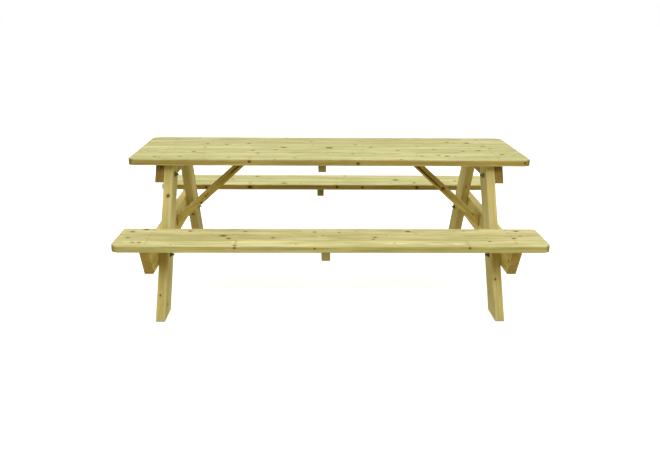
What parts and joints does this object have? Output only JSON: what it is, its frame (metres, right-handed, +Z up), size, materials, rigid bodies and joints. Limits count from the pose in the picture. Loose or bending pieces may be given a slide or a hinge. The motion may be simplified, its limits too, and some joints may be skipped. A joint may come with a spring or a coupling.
{
  "type": "picnic table",
  "caption": "Timber A-frame picnic table: lengthwise tabletop boards, two fixed bench seats, bolted sloping legs, diagonal braces and a central parasol hole.",
  "frame": {"origin": "on the ground, below the middle of the tabletop", "axes": "+X along the boards to the right, -Y towards the front seat, +Z up"},
  "size_m": [2.05, 1.54, 0.73],
  "materials": {
    "board_timber": "planed pressure-treated pine, pale straw with a green tint, small knots, matt",
    "frame_timber": "pressure-treated pine, straw to light brown, matt, darker end grain",
    "zinc_steel": "dull zinc-plated steel"
  },
  "bodies": {
    "root": {"tabletop_board_1": "board_timber", "tabletop_board_2": "board_timber", "tabletop_board_3": "board_timber", "tabletop_board_4": "board_timber", "tabletop_board_5": "board_timber", "tabletop_board_6": "board_timber", "tabletop_board_7": "board_timber", "front_seat_board_1": "board_timber", "front_seat_board_2": "board_timber", "front_seat_board_3": "board_timber", "rear_seat_board_1": "board_timber", "rear_seat_board_2": "board_timber", "rear_seat_board_3": "board_timber", "leg_left_front": "frame_timber", "leg_left_rear": "frame_timber", "leg_right_front": "frame_timber", "leg_right_rear": "frame_timber", "leg_spacer_left": "frame_timber", "leg_spacer_right": "frame_timber", "top_bearer_left": "frame_timber", "top_bearer_right": "frame_timber", "seat_bearer_left": "frame_timber", "seat_bearer_right": "frame_timber", "brace_left": "frame_timber", "brace_right": "frame_timber", "tabletop_batten": "frame_timber", "front_seat_batten": "frame_timber", "rear_seat_batten": "frame_timber", "bolt_top_left_front": "zinc_steel", "bolt_top_left_rear": "zinc_steel", "bolt_top_right_front": "zinc_steel", "bolt_top_right_rear": "zinc_steel", "bolt_seat_left_front": "zinc_steel", "bolt_seat_left_rear": "zinc_steel", "bolt_seat_right_front": "zinc_steel", "bolt_seat_right_rear": "zinc_steel", "washer_top_left_front": "zinc_steel", "washer_top_left_rear": "zinc_steel", "washer_top_right_front": "zinc_steel", "washer_top_right_rear": "zinc_steel", "washer_seat_left_front": "zinc_steel", "washer_seat_left_rear": "zinc_steel", "washer_seat_right_front": "zinc_steel", "washer_seat_right_rear": "zinc_steel", "nut_top_left_front": "zinc_steel", "nut_top_left_rear": "zinc_steel", "nut_top_right_front": "zinc_steel", "nut_top_right_rear": "zinc_steel", "nut_seat_left_front": "zinc_steel", "nut_seat_left_rear": "zinc_steel", "nut_seat_right_front": "zinc_steel", "nut_seat_right_rear": "zinc_steel", "spacer_screw_left_front": "zinc_steel", "spacer_screw_left_rear": "zinc_steel", "spacer_screw_right_front": "zinc_steel", "spacer_screw_right_rear": "zinc_steel", "brace_foot_screw_left": "zinc_steel", "brace_foot_screw_right": "zinc_steel", "brace_head_screw_left": "zinc_steel", "brace_head_screw_right": "zinc_steel"}
  },
  "joints": []
}
